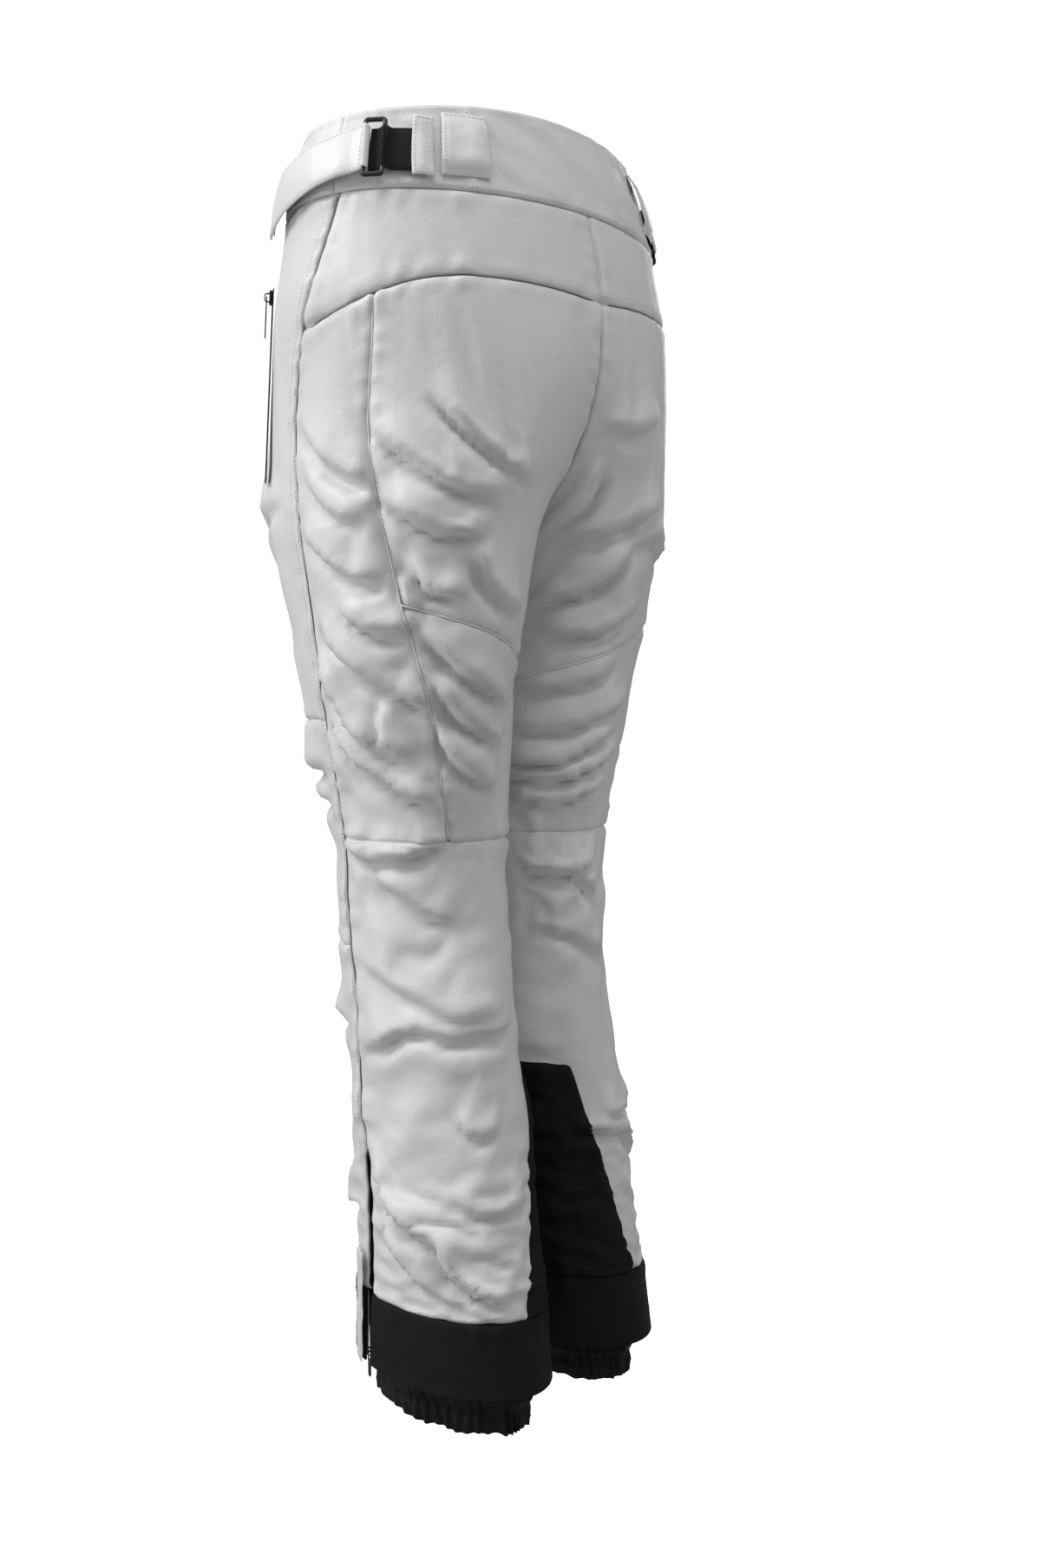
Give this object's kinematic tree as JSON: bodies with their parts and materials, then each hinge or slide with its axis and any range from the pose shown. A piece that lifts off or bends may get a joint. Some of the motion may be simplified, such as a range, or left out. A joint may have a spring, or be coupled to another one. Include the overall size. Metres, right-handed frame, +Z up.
{
  "type": "ski pants",
  "caption": "Insulated ski pants with waist adjusters, belt loops, a fly, hand pocket zips, ankle zips, kick guards and inner snow gaiters.",
  "frame": {"origin": "centre of the waist opening, level with the waistband's top edge at the sides", "axes": "+Z up along the body, out of the waist opening; the wearer faces -Y; the wearer's left side is +X"},
  "size_m": [0.3892, 0.2963, 1.053],
  "materials": {
    "shell_fabric": "white satin nylon shell, quilted lining inside",
    "guard_fabric": "heavy black woven scuff cloth",
    "gaiter_fabric": "thin black ripstop, gathered",
    "webbing": "black ribbed elastic webbing",
    "hook_and_loop": "black hook-and-loop tape",
    "black_plastic": "moulded, satin",
    "zip_tape": "black woven tape with a nylon coil",
    "zip_metal": "black enamelled die casting",
    "gusset_lining": "pale warm lining cloth",
    "snap_metal": "satin plated"
  },
  "bodies": {
    "pants": {"adjuster_elastic_left": "webbing", "adjuster_elastic_right": "webbing", "adjuster_ring_left": "black_plastic", "adjuster_ring_right": "black_plastic", "ankle_gusset_left": "gusset_lining", "ankle_gusset_right": "gusset_lining", "ankle_zip_tape_left": "zip_tape", "ankle_zip_tape_right": "zip_tape", "back_yoke_left": "shell_fabric", "back_yoke_right": "shell_fabric", "belt_loop_back_left": "shell_fabric", "belt_loop_back_right": "shell_fabric", "belt_loop_front_left": "shell_fabric", "belt_loop_front_right": "shell_fabric", "calf_panel_left": "shell_fabric", "calf_panel_right": "shell_fabric", "fly_zip_tape": "zip_tape", "front_panel_left": "shell_fabric", "front_panel_right": "shell_fabric", "gaiter_left": "gaiter_fabric", "gaiter_right": "gaiter_fabric", "hem_band_left": "guard_fabric", "hem_band_right": "guard_fabric", "kick_guard_left": "guard_fabric", "kick_guard_right": "guard_fabric", "knee_back_panel_left": "shell_fabric", "knee_back_panel_right": "shell_fabric", "knee_panel_left": "shell_fabric", "knee_panel_right": "shell_fabric", "loop_patch_left": "hook_and_loop", "loop_patch_right": "hook_and_loop", "pocket_zip_tape_left": "zip_tape", "pocket_zip_tape_right": "zip_tape", "seat_panel_left": "shell_fabric", "seat_panel_right": "shell_fabric", "shin_panel_left": "shell_fabric", "shin_panel_right": "shell_fabric", "side_panel_left": "shell_fabric", "side_panel_right": "shell_fabric", "snap_stud": "snap_metal", "waistband_back": "shell_fabric", "waistband_front_left": "shell_fabric", "waistband_front_right": "shell_fabric"},
    "ankle_slider_left": {"ankle_zip_slider_left": "zip_metal"},
    "ankle_pull_left": {"ankle_zip_pull_left": "zip_metal"},
    "ankle_slider_right": {"ankle_zip_slider_right": "zip_metal"},
    "ankle_pull_right": {"ankle_zip_pull_right": "zip_metal"},
    "pocket_slider_left": {"pocket_zip_slider_left": "zip_metal"},
    "pocket_pull_left": {"pocket_zip_pull_left": "zip_metal"},
    "pocket_slider_right": {"pocket_zip_slider_right": "zip_metal"},
    "pocket_pull_right": {"pocket_zip_pull_right": "zip_metal"},
    "fly_slider": {"fly_zip_slider": "zip_metal"},
    "fly_pull": {"fly_zip_pull": "zip_metal"},
    "adjuster_tab_left": {"adjuster_tab_left": "shell_fabric", "hook_patch_left": "hook_and_loop"},
    "adjuster_tab_right": {"adjuster_tab_right": "shell_fabric", "hook_patch_right": "hook_and_loop"},
    "closure_tab": {"closure_tab": "shell_fabric", "snap_cap": "snap_metal"}
  },
  "joints": [
    {"name": "ankle_zip_left", "type": "slide", "parent": "pants", "child": "ankle_slider_left", "axis": [-0.0295, -0.0461, 0.9985], "range_m": [0, 0.14874]},
    {"name": "ankle_zip_pull_left", "type": "hinge", "parent": "ankle_slider_left", "child": "ankle_pull_left", "pos_m": [0.1208, -0.00566, -0.99744], "axis": [-0.3018, -0.9519, -0.0529], "range_deg": [0, 100]},
    {"name": "ankle_zip_right", "type": "slide", "parent": "pants", "child": "ankle_slider_right", "axis": [0.0295, -0.0461, 0.9985], "range_m": [0, 0.14874]},
    {"name": "ankle_zip_pull_right", "type": "hinge", "parent": "ankle_slider_right", "child": "ankle_pull_right", "pos_m": [-0.1208, -0.00566, -0.99744], "axis": [-0.3018, 0.9519, 0.0529], "range_deg": [0, 100]},
    {"name": "pocket_zip_left", "type": "slide", "parent": "pants", "child": "pocket_slider_left", "axis": [0.011, -0.0502, -0.9987], "range_m": [0, 0.14821]},
    {"name": "pocket_zip_pull_left", "type": "hinge", "parent": "pocket_slider_left", "child": "pocket_pull_left", "pos_m": [0.16179, -0.08922, -0.12479], "axis": [-0.5956, -0.8026, 0.0337], "range_deg": [0, 100]},
    {"name": "pocket_zip_right", "type": "slide", "parent": "pants", "child": "pocket_slider_right", "axis": [-0.011, -0.0502, -0.9987], "range_m": [0, 0.14821]},
    {"name": "pocket_zip_pull_right", "type": "hinge", "parent": "pocket_slider_right", "child": "pocket_pull_right", "pos_m": [-0.16179, -0.08922, -0.12479], "axis": [-0.5956, 0.8026, -0.0337], "range_deg": [0, 100]},
    {"name": "fly_zip", "type": "slide", "parent": "pants", "child": "fly_slider", "axis": [0, -0.0504, -0.9987], "range_m": [0, 0.14721]},
    {"name": "fly_zip_pull", "type": "hinge", "parent": "fly_slider", "child": "fly_pull", "pos_m": [0, -0.13376, -0.07573], "axis": [-1, 0, 0], "range_deg": [0, 100]},
    {"name": "adjuster_tab_left", "type": "hinge", "parent": "pants", "child": "adjuster_tab_left", "pos_m": [0.17494, 0.04842, -0.03525], "axis": [-0.2174, -0.1443, 0.9653], "range_deg": [0, 100]},
    {"name": "adjuster_tab_right", "type": "hinge", "parent": "pants", "child": "adjuster_tab_right", "pos_m": [-0.17494, 0.04842, -0.03525], "axis": [-0.2174, 0.1443, -0.9653], "range_deg": [0, 100]},
    {"name": "closure_tab", "type": "hinge", "parent": "pants", "child": "closure_tab", "pos_m": [-0.02009, -0.13026, -0.02867], "axis": [-0.0306, -0.223, -0.9743], "range_deg": [0, 110]}
  ]
}
